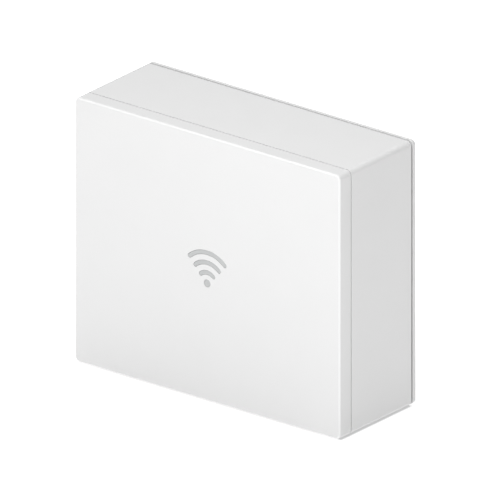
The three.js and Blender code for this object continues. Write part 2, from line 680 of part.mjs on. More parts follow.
sides.forEach((side) => {
  const name = side < 0 ? "left" : "right";
  const y = (COVER_BACK + SEAM + 2.6 + PCB.front) / 2; // between the cover's lip and the board
  const start = [side * (WIDTH / 2 - WALL - 1.7), y, MID + 6];
  const end = side < 0 ? [-22.7, y, MID - 8] : [41.3, y, MID - 4];
  const route = [start, [side * 52, y, MID + 5], [side * 47, y, MID - 4], end];
  if (side < 0) route.splice(2, 2, [-48, y, MID + 3], [-34, y, MID + 3], [-22, y, MID + 1], end);
  add(`antenna_${name}`, antennaBoard(side), board);
  add(`antenna_lead_${name}`, antennaLead(route), black);
});

export default hub;
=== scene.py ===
"""Looks of the smart home hub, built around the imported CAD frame. Metres, +Z up, front faces -Y."""

import math

import bmesh
import bpy
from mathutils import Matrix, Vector


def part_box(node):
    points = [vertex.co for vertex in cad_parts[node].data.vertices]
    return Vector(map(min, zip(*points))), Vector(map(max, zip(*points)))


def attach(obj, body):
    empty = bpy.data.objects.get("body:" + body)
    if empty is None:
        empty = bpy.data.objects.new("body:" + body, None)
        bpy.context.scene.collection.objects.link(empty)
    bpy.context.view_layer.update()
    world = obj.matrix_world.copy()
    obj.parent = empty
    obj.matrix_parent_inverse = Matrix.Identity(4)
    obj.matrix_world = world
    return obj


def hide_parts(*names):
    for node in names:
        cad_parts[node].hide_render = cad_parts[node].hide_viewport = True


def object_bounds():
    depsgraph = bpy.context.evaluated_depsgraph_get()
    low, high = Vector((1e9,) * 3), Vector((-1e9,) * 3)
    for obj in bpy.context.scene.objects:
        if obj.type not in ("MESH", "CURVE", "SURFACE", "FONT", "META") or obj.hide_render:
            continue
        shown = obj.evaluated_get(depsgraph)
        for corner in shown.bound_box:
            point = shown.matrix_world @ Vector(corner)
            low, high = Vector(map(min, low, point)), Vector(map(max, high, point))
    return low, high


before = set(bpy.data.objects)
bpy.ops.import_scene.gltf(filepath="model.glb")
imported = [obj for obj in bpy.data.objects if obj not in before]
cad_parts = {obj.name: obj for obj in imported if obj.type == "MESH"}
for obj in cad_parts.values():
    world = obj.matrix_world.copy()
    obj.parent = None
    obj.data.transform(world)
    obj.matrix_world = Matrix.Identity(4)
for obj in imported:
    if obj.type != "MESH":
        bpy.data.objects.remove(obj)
cad_low, cad_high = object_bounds()

MM = 0.001
HUB = "hub"


def show(obj):
    """Puts an object in the scene."""
    bpy.context.scene.collection.objects.link(obj)
    return obj


def evaluated_mesh(obj):
    """A new mesh of an object as its modifiers or curve settings leave it."""
    return bpy.data.meshes.new_from_object(
        obj.evaluated_get(bpy.context.evaluated_depsgraph_get())
    )


# ---------------------------------------------------------------- materials


def feed(tree, socket, value):
    """Links a node's input to another node's output, or sets its value."""
    if isinstance(value, bpy.types.NodeSocket):
        tree.links.new(value, socket)
    else:
        socket.default_value = value


def math_node(tree, operation, *values):
    node = tree.nodes.new("ShaderNodeMath")
    node.operation = operation
    for socket, value in zip(node.inputs, values):
        feed(tree, socket, value)
    return node.outputs[0]


class Nodes:
    """A short way to write a material's nodes and links."""

    def __init__(self, name):
        self.material = bpy.data.materials.new(name)
        self.material.use_nodes = True
        self.tree = self.material.node_tree
        self.shader = self.tree.nodes["Principled BSDF"]
        self.place = self.add("ShaderNodeTexCoord").outputs["Object"]

    def add(self, kind, inputs=None, **settings):
        node = self.tree.nodes.new(kind)
        for key, value in settings.items():
            setattr(node, key, value)
        for key, value in (inputs or {}).items():
            feed(self.tree, node.inputs[key], value)
        return node

    def set(self, **values):
        """Feeds sockets of the shader, with an underscore for each space in a socket's name."""
        for key, value in values.items():
            feed(self.tree, self.shader.inputs[key.replace("_", " ")], value)

    def math(self, operation, *values):
        return math_node(self.tree, operation, *values)

    def noise(self, size, detail=3.0, stretch=(1, 1, 1)):
        """Noise from 0 to 1 whose features are about size metres across."""
        scaled = self.add(
            "ShaderNodeMapping", {"Vector": self.place, "Scale": [s / size for s in stretch]}
        )
        made = self.add(
            "ShaderNodeTexNoise", {"Vector": scaled.outputs[0], "Scale": 1.0, "Detail": detail}
        )
        return made.outputs["Fac"]

    def cells(self, size):
        """Distance from the middle of the nearest cell, in cells of about size metres."""
        scaled = self.add("ShaderNodeMapping", {"Vector": self.place, "Scale": [1 / size] * 3})
        made = self.add("ShaderNodeTexVoronoi", {"Vector": scaled.outputs[0], "Scale": 1.0})
        return made.outputs["Distance"]

    def span(self, value, low, high, frm=(0.0, 1.0)):
        """Maps the range frm to the range from low to high, and holds both ends."""
        made = self.add(
            "ShaderNodeMapRange",
            {"Value": value, "From Min": frm[0], "From Max": frm[1], "To Min": low, "To Max": high},
        )
        return made.outputs[0]

    def blend(self, amount, one, two):
        """A colour from one, at amount 0, to two, at amount 1."""
        made = self.add("ShaderNodeMix", data_type="RGBA")
        feed(self.tree, made.inputs["Factor"], amount)
        for name, value in (("A", one), ("B", two)):
            socket = next(s for s in made.inputs if s.name == name and s.type == "RGBA")
            linked = isinstance(value, bpy.types.NodeSocket)
            feed(self.tree, socket, value if linked else (*value, 1))
        return next(s for s in made.outputs if s.type == "RGBA")

    def edges(self):
        """Mask of a painted highlight: 1 where a surface slopes between front or back and a side, 0
        where it faces either.
        """
        normal = self.add("ShaderNodeTexCoord").outputs["Normal"]
        facing = self.add("ShaderNodeSeparateXYZ", {0: normal}).outputs["Y"]
        square = self.math("MULTIPLY", facing, facing)
        slope = self.math("MULTIPLY", square, self.math("SUBTRACT", 1.0, square))
        return self.span(slope, 0, 1, (0.06, 0.24))

    def bump(self, height, depth, under=None):
        made = self.add("ShaderNodeBump", {"Height": height, "Distance": depth, "Strength": 1.0})
        if under is not None:
            feed(self.tree, made.inputs["Normal"], under)
        return made.outputs["Normal"]


def tint(color, factor):
    return tuple(min(1.0, c * factor) for c in color)


def plastic(name, color, rough=0.45, grain=0.25 * MM, depth=0.006 * MM, vary=0.012, painted_highlight=0.0):
    """Moulded plastic: an eroded mould grain, faint flow clouds, uneven gloss, and a painted
    highlight on its edges.

    The edges round a front or back face are painted paler by the given share of the colour, as a
    painted highlight of light caught on their roundings.
    """
    n = Nodes(name)
    clouds = n.noise(18 * MM, 2)
    specks = n.noise(0.6 * MM, 2)
    base = n.blend(clouds, tint(color, 1 - vary), tint(color, 1 + vary))
    base = n.blend(n.span(specks, 0, 0.5, (0.55, 0.8)), base, tint(color, 1 - 2 * vary))
    # Painted highlight: the edges between a front or back face and a side are made paler.
    if painted_highlight:
        base = n.blend(n.edges(), base, tint(color, 1 + painted_highlight))
    rub = n.noise(7 * MM, 4)
    n.set(Base_Color=base, Roughness=n.span(rub, rough - 0.05, rough + 0.05, (0.3, 0.7)))
    fine = n.bump(n.noise(grain, 2), depth)
    n.set(Normal=n.bump(n.noise(24 * MM, 1), 0.02 * MM, fine))
    return n.material


def metal(name, color, rough=0.3, stretch=(1, 1, 1), depth=0.003 * MM):
    """Plated or blasted metal with rolled grain and dull patches."""
    n = Nodes(name)
    grain = n.noise(0.12 * MM, 3, stretch)
    patches = n.noise(3 * MM, 4)
    n.set(Base_Color=n.blend(patches, tint(color, 0.94), tint(color, 1.06)), Metallic=1.0)
    n.set(Roughness=n.span(patches, rough - 0.07, rough + 0.1, (0.3, 0.7)))
    n.set(Normal=n.bump(grain, depth))
    return n.material


def rubber(name, color, rough=0.8):
    """Matt rubber with a cell-like grain and a little dust."""
    n = Nodes(name)
    dust = n.noise(1.5 * MM, 5)
    n.set(Base_Color=n.blend(n.span(dust, 0, 1, (0.45, 0.75)), color, tint(color, 1.35)))
    n.set(Roughness=n.span(dust, rough - 0.08, rough + 0.1))
    n.set(Normal=n.bump(n.cells(0.35 * MM), 0.02 * MM))
    return n.material


def board(name):
    """Solder mask over copper: tracks that show as low ridges, vias, and a fine weave."""
    n = Nodes(name)
    mask, copper, via_gold = (0.012, 0.085, 0.04), (0.03, 0.17, 0.07), (0.5, 0.4, 0.2)
    upright = n.add("ShaderNodeMapping", {"Vector": n.place, "Rotation": (math.pi / 2, 0, 0)})
    tracks = n.add(
        "ShaderNodeTexBrick",
        {
            "Vector": upright.outputs[0],
            "Scale": 1 / (9 * MM),
            "Mortar Size": 0.02,
            "Mortar Smooth": 0.2,
            "Brick Width": 0.9,
            "Row Height": 0.11,
            "Color1": (0, 0, 0, 1),
            "Color2": (0, 0, 0, 1),
            "Mortar": (1, 1, 1, 1),
        },
    ).outputs["Fac"]
    vias = n.span(n.cells(2.6 * MM), 1, 0, (0.09, 0.12))
    n.set(Base_Color=n.blend(vias, n.blend(tracks, mask, copper), via_gold))
    n.set(Roughness=n.span(n.noise(4 * MM), 0.25, 0.4), Coat_Weight=0.3, Coat_Roughness=0.15)
    weave = n.bump(n.noise(0.4 * MM, 1), 0.006 * MM)
    n.set(Normal=n.bump(tracks, 0.03 * MM, weave))
    return n.material


WHITE = (0.74, 0.74, 0.74)
# The three white shells get a painted highlight on their edges, by the share given to each.
shell = plastic("shell_white", WHITE, painted_highlight=0.06)
cover = plastic(
    "cover_white", tint(WHITE, 0.995), painted_highlight=0.15, rough=0.4, grain=0.2 * MM, depth=0.004 * MM
)
bracket_white = plastic("bracket_white", tint(WHITE, 0.99), painted_highlight=0.2, rough=0.52, depth=0.009 * MM)
guide = plastic("light_guide", (0.47, 0.48, 0.48), rough=0.35, depth=0.002 * MM, vary=0.03)
grey_button = plastic("button_grey", (0.42, 0.43, 0.43), rough=0.4)
black = plastic("black_plastic", (0.018, 0.018, 0.02), rough=0.5, vary=0.15)
gloss_black = plastic("chip_resin", (0.012, 0.012, 0.013), rough=0.38, grain=0.12 * MM, vary=0.2)
lead_black = plastic("lead_sleeve", (0.01, 0.01, 0.011), rough=0.3, depth=0.002 * MM, vary=0.2)
led_white = plastic("led_package", (0.8, 0.78, 0.66), rough=0.3, depth=0.002 * MM)
foot_rubber = rubber("foot_rubber", (0.30, 0.305, 0.31))
pad_rubber = rubber("pad_silicone", (0.35, 0.42, 0.5), 0.6)
green = board("board_green")
steel = metal("nickel_steel", (0.62, 0.61, 0.59), 0.28)
spring_steel = metal("spring_steel", (0.58, 0.57, 0.55), 0.22, (1, 1, 8))
tin = metal("tin_plate", (0.52, 0.52, 0.51), 0.38, (1, 1, 6), 0.004 * MM)
gold = metal("gold_plate", (0.83, 0.6, 0.25), 0.2)
blasted = metal("blasted_aluminium", (0.55, 0.56, 0.57), 0.5, depth=0.01 * MM)
sleeve = plastic("cell_sleeve", (0.025, 0.16, 0.42), rough=0.25, depth=0.002 * MM, vary=0.05)

# Materials of the CAD nodes that keep their own mesh. The rest of those are black plastic.
LOOKS = {
    "status_led": led_white,
    "main_board": green,
    "mesh_radio_board": green,
    "radio_board": green,
    "antenna_left": green,
    "antenna_right": green,
    "antenna_lead_left": lead_black,
    "antenna_lead_right": lead_black,
    "thermal_pad": pad_rubber,
    "heat_sink": blasted,
    "processor": gloss_black,
    "memory_chip": gloss_black,
    "flash_chip": gloss_black,
    "network_transformer": gloss_black,
    "battery_cell_1": sleeve,
    "battery_cell_2": sleeve,
    "main_radio_shield": tin,
    "mesh_radio_shield": tin,
    "radio_shield": tin,
    "power_switch": tin,
    "coin_cell": steel,
}
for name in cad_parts:
    if "screw" in name:
        LOOKS[name] = steel
    elif name.startswith("battery_contact"):
        LOOKS[name] = spring_steel

# ---------------------------------------------------------------- surface finish


def finish_surface(piece, look, bevel):
    """Gives a piece its material, a fine rounding of its sharp edges, and even shading."""
    mesh = piece.data
    mesh.materials.clear()
    mesh.materials.append(look)
    for polygon in mesh.polygons:
        polygon.use_smooth = True
    if bevel:
        edges = piece.modifiers.new("edges", "BEVEL")
        edges.width = bevel * MM
        edges.segments = 3
        edges.limit_method = "ANGLE"
        edges.angle_limit = math.radians(40)
    piece.modifiers.new("shading", "WEIGHTED_NORMAL").keep_sharp = False


def dress(node):
    """A CAD node: its flat faces are made whole, and its edges rounded."""
    flatten = node.modifiers.new("flatten", "DECIMATE")
    flatten.decimate_type = "DISSOLVE"
    flatten.angle_limit = math.radians(0.5)
    finish_surface(node, LOOKS.get(node.name, black), 0.12)


# ---------------------------------------------------------------- outlines and solids
# Lengths from here to the studio are in millimetres, and solids are made in metres.

cover_box = [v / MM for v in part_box("front_cover")]
housing_box = [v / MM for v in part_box("main_housing")]
bracket_box = [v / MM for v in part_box("wall_bracket")]
WIDTH = cover_box[1].x - cover_box[0].x
HEIGHT = cover_box[1].z - cover_box[0].z
MID = (cover_box[0].z + cover_box[1].z) / 2
BASE = cover_box[0].z
FRONT = cover_box[0].y
BACK = bracket_box[1].y
HOUSING_BACK = housing_box[1].y

# Shells: outline corners, edge roundings, and walls.
CORNER, EDGE, BACK_EDGE, WALL = 2, 1, 1, 2.2
REBATE_DEPTH, REBATE_LENGTH = 0.5, 0.6  # step round the housing's back edge
LIP_INSET, LIP_WALL, LIP_REACH = 2.4, 1.4, 2.6  # lip of the cover, inside the housing
COVER_BACK = FRONT + 6.4
HOUSING_FRONT = COVER_BACK + 0.4
PLATE_BACK = FRONT + WALL
REAR_WALL = HOUSING_BACK - WALL
BRACKET_FRONT = BACK - 2
BOARD_FRONT, BOARD_BACK = -10, -8.35

# Port bay, with its corner radius, and the sockets and controls in it.
BAY_HALF, BAY_TOP, BAY_FLOOR, BAY_WALL, BAY_RADIUS = 36, BASE + 36, 5, 2, 3
PORT_Z = BASE + 19.4
NETWORK_X, USB_X, POWER_X = 8.5, -10.5, 27
CONTROL_X, BUTTON_Z, SWITCH_Z = -26, BASE + 26, BASE + 12.4
KNOB_X = CONTROL_X - 1.5  # the knob at the start of its travel
NETWORK_SIZE, USB_SIZE, POWER_SIZE = (16, 13.6), (13.1, 5.8), (9, 10)  # width and height
BUTTON_RADIUS, SWITCH_SLOT = 3.2, (7.2, 3.8)
PLAY = 0.3  # gap round each socket and the button in the bay's floor
PROUD = 1.2  # how far the button and the knob stand out of the bay's floor

# Fixings: board posts, cover bosses, hooks, wall screws, and feet.
POST_X, POST_Z, POST_RADIUS, POST_BORE, POST_BORE_LENGTH = 45.5, 37, 3.3, 1.3, 11
BOSS_X, BOSS_Z, BOSS_RADIUS, BOSS_BORE, BOSS_BACK = 54.4, 45.1, 3, 1.55, -7.2
TUBE_RADIUS, TUBE_BORE, TUBE_FRONT = 3.6, 1.7, -7  # tubes behind the cover's bosses
SCREW_WELL, SCREW_SEAT = 2.9, -4.8  # the wells for the cover screws' heads, in the tubes
HOOK_X, HOOK_Z = 50, 22
NECK, HEAD = (4.2, 3), (8, 3)  # width and height of a hook's neck and head
THROAT, THROAT_DROP = (5, 10.2), 3.2  # the slot for a hook's neck, and how far below it
MOUTH, MOUTH_DROP = (9.2, 5.4), 7.6  # the wide opening that a hook's head goes in by
WALL_SCREW_X, WALL_SCREW_LEVELS, WALL_SCREW_RADIUS, SINK_RADIUS = 42, (30, -8), 2, 3.9
FOOT_X, FOOT_LEVELS, FOOT_RADIUS, POCKET_RADIUS = 47, (-8, 13), 4.3, 4.5
FOOT_TOP, POCKET_TOP = BASE + 0.8, BASE + 0.85

# Status mark, and the light guide's round flange in its ring on the cover.
MARK_Z, DOT_RADIUS, ARC_RADII = MID - 5.7, 1.35, (4.2, 8, 11.8)
ARC_HALF_WIDTH, ARC_HALF_ANGLE, MARK_GAP = 0.75, 42, 0.1
FLANGE_RADIUS, RING_BORE, RING_RADIUS = 10.5, 10.8, 12

VENT_Z, VENT_PITCH, VENT_WIDTH, VENT_HEIGHT = MID + 37.7, 6, 1.8, 10
FLOOR_VENT_REACH = (-11, -1)  # front and back end of the slots in the housing's floor
QUADRANTS = [(-1, -1), (1, -1), (-1, 1), (1, 1)]
HOOKS = [(side * HOOK_X, MID + level * HOOK_Z) for side in (-1, 1) for level in (-1, 1)]
FEET = [(side * FOOT_X, y) for side in (-1, 1) for y in FOOT_LEVELS]


def row(count, pitch):
    """Numbers at an even pitch on both sides of zero."""
    return [(i - (count - 1) / 2) * pitch for i in range(count)]


def round_box(x, z, width, height, radius, steps=12):
    """Points round a rectangle with round corners, as seen from the front."""
    points = []
    for sx, sz, start in ((1, 1, 0), (-1, 1, 1), (-1, -1, 2), (1, -1, 3)):
        for i in range(steps + 1):
            angle = (start + i / steps) * math.pi / 2
            across = sx * (width / 2 - radius) + radius * math.cos(angle)
            over = sz * (height / 2 - radius) + radius * math.sin(angle)
            points.append((x + across, z + over))
    return points


def circle(x, z, radius, steps=48):
    turns = [2 * math.pi * i / steps for i in range(steps)]
    return [(x + radius * math.cos(a), z + radius * math.sin(a)) for a in turns]


def band(x, z, radius, half_width, half_angle, steps=40):
    """Points round a band along an arc over x, z, with round ends."""
    low, high = math.radians(90 - half_angle), math.radians(90 + half_angle)

    def arc(cx, cz, r, a, b, count):
        angles = [a + (b - a) * i / count for i in range(count + 1)]
        return [(cx + r * math.cos(t), cz + r * math.sin(t)) for t in angles]

    ends = [(x + radius * math.cos(t), z + radius * math.sin(t)) for t in (low, high)]
    points = arc(x, z, radius + half_width, low, high, steps)
    points += arc(*ends[1], half_width, high, high + math.pi, 10)[1:-1]
    points += arc(x, z, radius - half_width, high, low, steps)
    points += arc(*ends[0], half_width, low + math.pi, low + 2 * math.pi, 10)[1:-1]
    return points


def body_outline(inset):
    """The outline that the three shells share, seen from the front and moved in by inset."""
    radius = max(CORNER - inset, 0.8)
    return round_box(0, MID, WIDTH - 2 * inset, HEIGHT - 2 * inset, radius, 16)


def loft(*parts):
    """A closed mesh for each part, which is a list of (points, y) rings with caps at both ends."""
    made = bmesh.new()
    for rings in parts:
        loops = [[made.verts.new((x * MM, y * MM, z * MM)) for x, z in ring] for ring, y in rings]
        for one, two in zip(loops, loops[1:]):
            for i in range(len(one)):
                made.faces.new((one[i - 1], one[i], two[i], two[i - 1]))
        made.faces.new(loops[0])
        made.faces.new(loops[-1])
    bmesh.ops.recalc_face_normals(made, faces=made.faces)
    return made


def turned(profile, place, axis, steps=48):
    """A closed solid turned from (radius, height) points that start and end on its axis."""
    made = bmesh.new()
    spin = [2 * math.pi * i / steps for i in range(steps)]

    def point(r, h, a):
        across, over = r * math.cos(a), r * math.sin(a)
        offset = (across, h, over) if axis == "Y" else (across, over, h)
        return [(p + o) * MM for p, o in zip(place, offset)]

    ends = [made.verts.new(point(0, profile[i][1], 0)) for i in (0, -1)]
    rings = [[made.verts.new(point(r, h, a)) for a in spin] for r, h in profile[1:-1]]
    for one, two in zip(rings, rings[1:]):
        for i in range(steps):
            made.faces.new((one[i - 1], one[i], two[i], two[i - 1]))
    for end, ring in zip(ends, (rings[0], rings[-1])):
        for i in range(steps):
            made.faces.new((end, ring[i - 1], ring[i]))
    bmesh.ops.recalc_face_normals(made, faces=made.faces)
    return made


def as_object(name, made):
    mesh = bpy.data.meshes.new(name)
    made.to_mesh(mesh)
    made.free()
    return show(bpy.data.objects.new(name, mesh))


def combine(piece, operation, tool_mesh):
    """Adds the solids of a mesh to a piece, or takes them away from it."""
    tool = as_object("tool", tool_mesh)
    step = piece.modifiers.new("step", "BOOLEAN")
    step.operation, step.solver, step.object = operation, "EXACT", tool
    step.use_self = True
    shaped = evaluated_mesh(piece)
    piece.modifiers.clear()
    old, piece.data = piece.data, shaped
    bpy.data.meshes.remove(old)
    tool_data = tool.data
    bpy.data.objects.remove(tool)
    bpy.data.meshes.remove(tool_data)


def add(piece, *parts):
    combine(piece, "UNION", loft(*parts))


def cut(piece, *parts):
    combine(piece, "DIFFERENCE", loft(*parts))


def prism(points, y0, y1):
    return [(points, y0), (points, y1)]


def box_at(x, z, width, height, y0, y1, radius=0.15):
    return prism(round_box(x, z, width, height, radius, 3), y0, y1)


def rod(x, z, radius, y0, y1):
    return prism(circle(x, z, radius, 40), y0, y1)


replaced = set()


def polish(piece, look, bevel=0.12, body=HUB, nodes=()):
    """Material, fine edge rounding and even shading for a new piece, and what it stands for."""
    made = bmesh.new()
    made.from_mesh(piece.data)
    bmesh.ops.remove_doubles(made, verts=made.verts, dist=0.002 * MM)
    bmesh.ops.dissolve_limit(
        made, angle_limit=math.radians(0.3), verts=made.verts, edges=made.edges
    )
    made.to_mesh(piece.data)
    made.free()
    piece.data.name = piece.name
    finish_surface(piece, look, bevel)
    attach(piece, body)
    if nodes:
        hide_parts(*nodes)
        replaced.update(nodes)


# ---------------------------------------------------------------- shells


def bay_outline(grow, low):
    """The port bay's outline, larger by grow, with two round corners at the top."""
    half, top, radius = BAY_HALF + grow, BAY_TOP + grow, BAY_RADIUS + grow
    points = [(-half, low), (half, low)]
    for side, start in ((1, 0), (-1, 1)):
        for i in range(13):
            angle = (start + i / 12) * math.pi / 2
            x = side * (half - radius) + radius * math.cos(angle)
            points.append((x, top - radius + radius * math.sin(angle)))
    return points


def rounding(radius, edge, inward, steps=12):
    """Rings that round an edge, from the side at edge + inward * radius to the face at edge."""
    turns = [math.pi / 2 * i / steps for i in range(steps + 1)]
    return [
        (body_outline(radius * (1 - math.cos(t))), edge + inward * radius * (1 - math.sin(t)))
        for t in turns
    ]


def mark(grow, y0, y1):
    """The status mark, wider by grow all round: a dot under three arcs."""
    half = ARC_HALF_WIDTH + grow
    arcs = [prism(band(0, MARK_Z, r, half, ARC_HALF_ANGLE), y0, y1) for r in ARC_RADII]
    return [rod(0, MARK_Z, DOT_RADIUS + grow, y0, y1), *arcs]


def vents(y0, y1):
    """Ten upright slots with nearly round ends, high on the back."""
    end = VENT_WIDTH / 2 - 0.02
    return [
        box_at(x, VENT_Z, VENT_WIDTH, VENT_HEIGHT, y0, y1, end) for x in row(10, VENT_PITCH)
    ]


def at_corners(x, z):
    return [(sx * x, MID + sz * z) for sx, sz in QUADRANTS]


def front_cover():
    lip_back = HOUSING_FRONT + LIP_REACH
    lip = [(body_outline(LIP_INSET), lip_back), (body_outline(LIP_INSET), COVER_BACK)]
    edge = rounding(EDGE, FRONT, 1)
    piece = as_object("cover_shell", loft([*lip, (body_outline(0), COVER_BACK), *edge]))
    cut(piece, prism(body_outline(LIP_INSET + LIP_WALL), PLATE_BACK, lip_back + 1))
    seat = PLATE_BACK - 0.5
    bore = (COVER_BACK - 0.6, BOSS_BACK + 1.2)
    places = at_corners(BOSS_X, BOSS_Z)
    bosses = [rod(x, z, BOSS_RADIUS, seat, BOSS_BACK) for x, z in places]
    add(piece, *bosses, rod(0, MID, RING_RADIUS, seat, PLATE_BACK + 2))
    bores = [rod(x, z, BOSS_BORE, *bore) for x, z in places]
    cut(piece, *bores, rod(0, MID, RING_BORE, PLATE_BACK, PLATE_BACK + 3))
    cut(piece, *mark(MARK_GAP, FRONT - 1, PLATE_BACK + 1))
    polish(piece, cover, nodes=["front_cover"])


def main_housing():
    step, inner = HOUSING_BACK - REBATE_LENGTH, body_outline(REBATE_DEPTH)
    rings = [(body_outline(0), HOUSING_FRONT), (body_outline(0), step)]
    rings += [(inner, step), (inner, HOUSING_BACK)]
    piece = as_object("housing_shell", loft(rings))
    cut(piece, prism(body_outline(WALL), HOUSING_FRONT - 1, REAR_WALL))
    bay_front = BAY_FLOOR - BAY_WALL
    add(piece, prism(bay_outline(BAY_WALL, BASE + 0.5), bay_front, HOUSING_BACK - 1))
    posts, tubes = at_corners(POST_X, POST_Z), at_corners(BOSS_X, BOSS_Z)
    add(
        piece,
        *[rod(x, z, POST_RADIUS, BOARD_BACK, REAR_WALL + 1) for x, z in posts],
        *[rod(x, z, TUBE_RADIUS, TUBE_FRONT, REAR_WALL + 1) for x, z in tubes],
    )
    post_bore = (BOARD_BACK - 1, BOARD_BACK + POST_BORE_LENGTH)
    tube_bore = (TUBE_FRONT - 1, SCREW_SEAT + 1)
    slot = (REAR_WALL - 1, HOUSING_BACK + 1)
    through = (bay_front - 1, BAY_FLOOR + 1)
    cut(piece, prism(bay_outline(0, BASE - 1), BAY_FLOOR, HOUSING_BACK + 1))
    cut(piece, *[rod(x, z, POST_BORE, *post_bore) for x, z in posts])
    cut(piece, *[rod(x, z, TUBE_BORE, *tube_bore) for x, z in tubes])
    cut(piece, *[rod(x, z, SCREW_WELL, SCREW_SEAT, HOUSING_BACK + 1) for x, z in tubes])
    cut(piece, *[box_at(x, z - THROAT_DROP, *THROAT, *slot) for x, z in HOOKS])
    mouths = [box_at(x, z - MOUTH_DROP, *MOUTH, *slot, 0.5) for x, z in HOOKS]
    cut(piece, *mouths, *vents(*slot))
    sockets = [(NETWORK_X, NETWORK_SIZE, 0.5), (USB_X, USB_SIZE, 0.7), (POWER_X, POWER_SIZE, 0.5)]
    cut(
        piece,
        *[
            box_at(x, PORT_Z, width + 2 * PLAY, height + 2 * PLAY, *through, corner)
            for x, (width, height), corner in sockets
        ],
        rod(CONTROL_X, BUTTON_Z, BUTTON_RADIUS + PLAY, *through),
        box_at(CONTROL_X, SWITCH_Z, *SWITCH_SLOT, *through, 0.4),
    )
    floor_vent = (VENT_WIDTH, WALL + 2, *FLOOR_VENT_REACH)
    cut(piece, *[box_at(x, BASE + 1, *floor_vent) for x in row(11, VENT_PITCH)])
    below = BASE - 1
    pocket = [(0, below), (POCKET_RADIUS, below), (POCKET_RADIUS, POCKET_TOP), (0, POCKET_TOP)]
    for x, y in FEET:
        combine(piece, "DIFFERENCE", turned(pocket, (x, y, 0), "Z"))
    polish(piece, shell, nodes=["main_housing"])


def wall_bracket():
    rings = [(body_outline(0), BRACKET_FRONT), *rounding(BACK_EDGE, BACK, -1, 6)]
    piece = as_object("bracket_shell", loft(rings))
    neck = (REAR_WALL - 1.5, BRACKET_FRONT + 0.5)
    head = (REAR_WALL - 2, REAR_WALL - 0.4)
    add(piece, *[box_at(x, z, *NECK, *neck, 0.3) for x, z in HOOKS])
    add(piece, *[box_at(x, z, *HEAD, *head, 0.5) for x, z in HOOKS])
    cut(piece, prism(bay_outline(0, BASE - 1), BRACKET_FRONT - 1, BACK + 1))
    cut(piece, *vents(BRACKET_FRONT - 1, BACK + 1))
    for x in (-WALL_SCREW_X, WALL_SCREW_X):
        for z in (MID + level for level in WALL_SCREW_LEVELS):
            sink, hole = circle(x, z, SINK_RADIUS), circle(x, z, WALL_SCREW_RADIUS)
            sunk, bottom = BRACKET_FRONT - 0.1, BRACKET_FRONT + 1.5
            cut(piece, [(sink, sunk), (hole, bottom), (hole, BACK + 1)])
    polish(piece, bracket_white, body="wall_bracket", nodes=["wall_bracket"])


# ---------------------------------------------------------------- small visible parts


def feet():
    profile = [(0, 0), (1.6, 0), (1.75, 0.22), (2.25, 0.22), (2.4, 0), (3.85, 0)]
    profile += [(4.05, 0.04), (4.2, 0.14), (FOOT_RADIUS, 0.35)]
    profile += [(FOOT_RADIUS, FOOT_TOP), (0, FOOT_TOP)]
    for i, (x, y) in enumerate(FEET, 1):
        piece = as_object(f"foot_pad_{i}", turned(profile, (x, y, 0), "Z"))
        polish(piece, foot_rubber, 0.04, nodes=[f"foot_{i}"])


def light_guide():
    front, narrow = PLATE_BACK + 0.1, BOARD_FRONT - 1.3
    profile = [(0, front), (FLANGE_RADIUS, front), (FLANGE_RADIUS, front + 1.5)]
    profile += [(FLANGE_RADIUS - 1, front + 1.5), (2.6, narrow), (0, narrow)]
    piece = as_object("light_guide_lens", turned(profile, (0, 0, MID), "Y", 64))
    add(piece, *mark(0, FRONT + 0.05, front + 0.5))
    polish(piece, guide, 0.08, nodes=["status_light_guide"])


def pair_button():
    """A cap with a flange behind the bay's floor, a rounded rim and a shallow dish."""
    face, inner = BAY_FLOOR + PROUD, BAY_FLOOR - BAY_WALL
    radius, rim, stem, stem_end, flange = BUTTON_RADIUS, 0.45, 1.6, -3.35, 4.2
    profile = [(0, stem_end), (stem, stem_end), (stem, inner - 1.4), (flange, inner - 1.4)]
    profile += [(flange, inner - 0.1), (radius, inner - 0.1), (radius, face - rim)]
    crown = [math.radians(15 * i) for i in range(1, 7)]
    profile += [(radius - rim * (1 - math.cos(t)), face - rim * (1 - math.sin(t))) for t in crown]
    profile += [(2.1, face - 0.06), (1.4, face - 0.16), (0.7, face - 0.21), (0, face - 0.22)]
    piece = as_object("pair_button_cap", turned(profile, (CONTROL_X, 0, BUTTON_Z), "Y"))
    polish(piece, grey_button, 0.08, "pair_button", ["pair_button"])


def switch_knob():
    x, z, face = KNOB_X, SWITCH_Z, BAY_FLOOR + PROUD
    piece = as_object("switch_slider", loft(box_at(x, z, 4.6, 4, -1.4, 0.8)))
    add(piece, box_at(x, z, 3.2, 3, 0.3, face, 0.3))
    cut(piece, *[box_at(x + dx, z, 0.3, 4, face - 0.35, face + 1, 0.05) for dx in row(3, 0.9)])
    polish(piece, black, 0.07, "power_switch_knob", ["power_switch_knob"])


def sleeve_of_sheet(name, x, size, mouth, corner, node):
    """The metal sleeve of a socket."""
    sheet = 0.4
    piece = as_object(name, loft(box_at(x, PORT_Z, *size, BOARD_BACK, mouth, corner)))
    inside = [side - 2 * sheet for side in size]
    cut(piece, box_at(x, PORT_Z, *inside, BOARD_BACK - 1, mouth + 1, corner - sheet))
    polish(piece, tin, 0.08, nodes=[node])


def network_socket():
    sleeve_of_sheet(
        "network_sleeve", NETWORK_X, NETWORK_SIZE, BAY_FLOOR, 0.7, "network_socket_shield"
    )
    insert = box_at(NETWORK_X, PORT_Z, 15.1, 12.7, BOARD_BACK, 4.8, 0.3)
    piece = as_object("network_insert", loft(insert))
    # The cavity for the plug, for its latch, and for the latch's tip.
    for width, low, high in ((11.8, -3.8, 3.4), (6.2, -5, -3), (3.4, -5.8, -4)):
        middle, tall = PORT_Z + (low + high) / 2, high - low
        cut(piece, box_at(NETWORK_X, middle, width, tall, -5, BAY_FLOOR + 1, 0.15))
    polish(piece, black, 0.1, nodes=["network_socket_body"])


